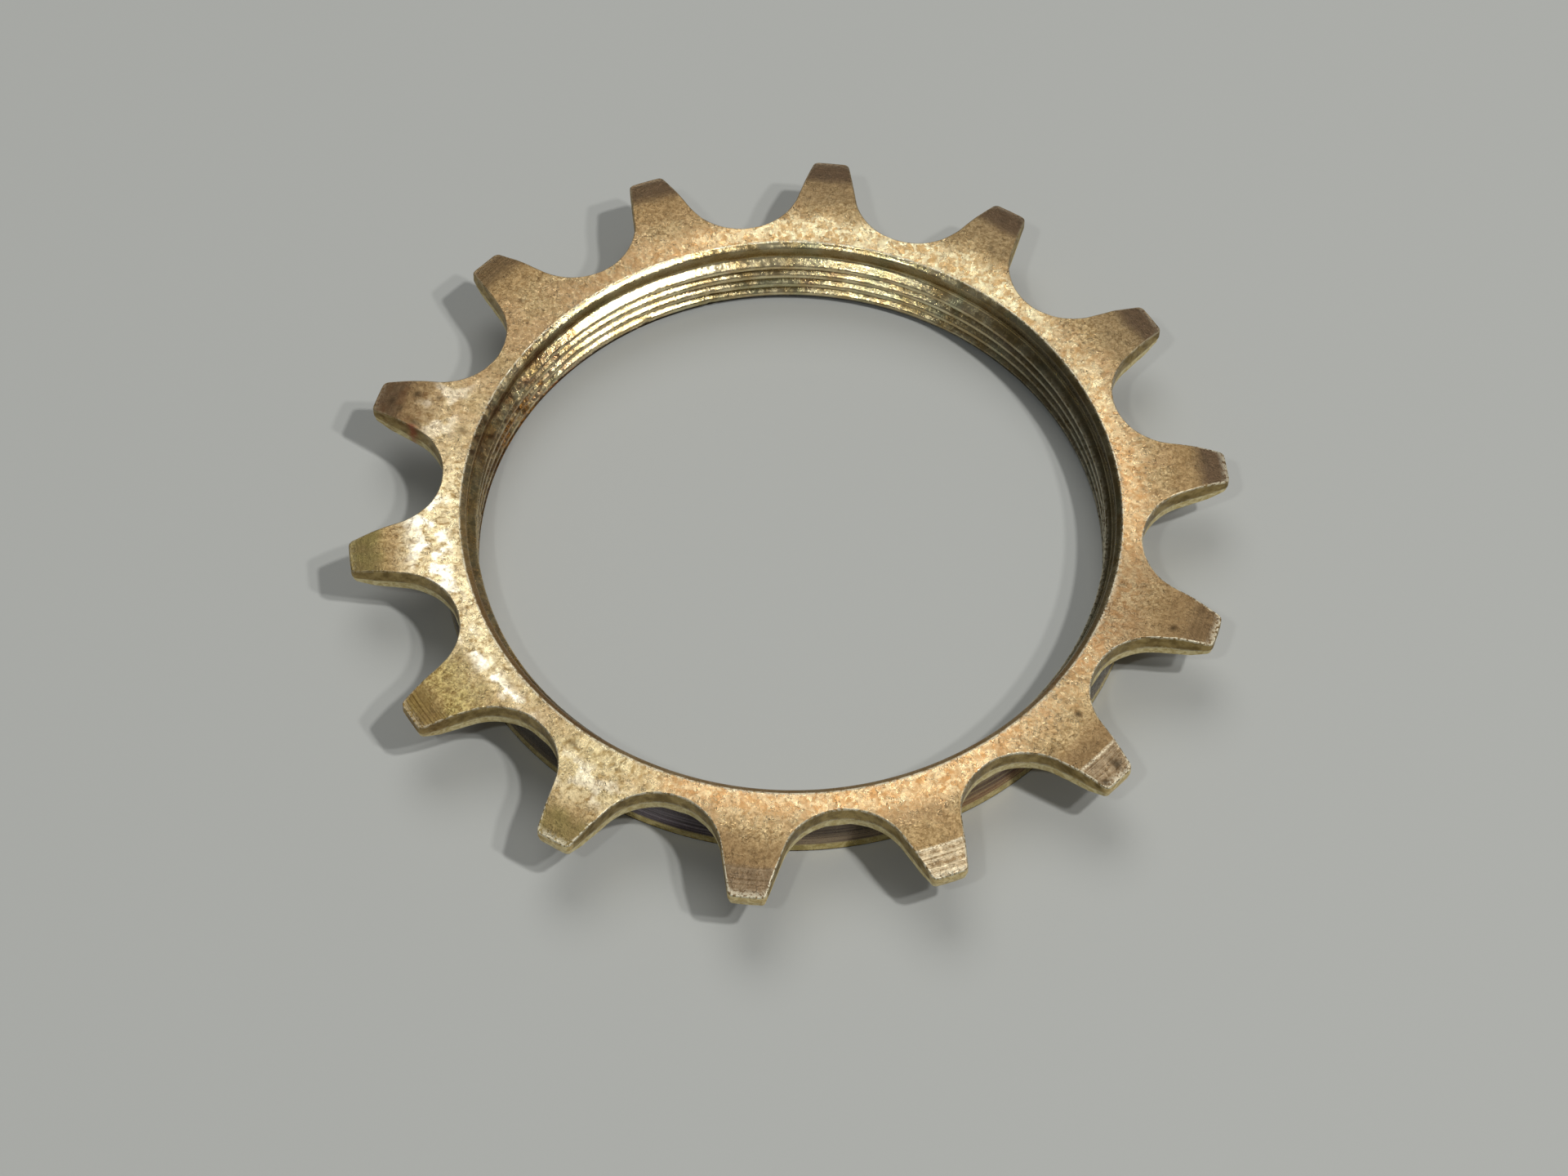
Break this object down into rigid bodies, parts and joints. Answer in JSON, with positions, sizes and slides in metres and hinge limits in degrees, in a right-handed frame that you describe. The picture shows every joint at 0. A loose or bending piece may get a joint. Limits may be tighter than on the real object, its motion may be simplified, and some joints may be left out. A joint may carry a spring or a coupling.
{
  "type": "threaded sprocket",
  "caption": "Flat toothed sprocket for half-inch roller chain, on a short round spacing collar, with a right-hand thread through the bore.",
  "frame": {"origin": "on the bore axis at the lower face of the collar", "axes": "+Z along the bore axis, out of the toothed face; one tooth is centred on +Y; X completes the right-handed frame"},
  "size_m": [0.061, 0.062, 0.0056],
  "materials": {
    "gold_plated_steel": "yellow-passivated zinc plate, mottled, worn on the teeth"
  },
  "bodies": {
    "root": {"threaded_sprocket": "gold_plated_steel"}
  },
  "joints": []
}
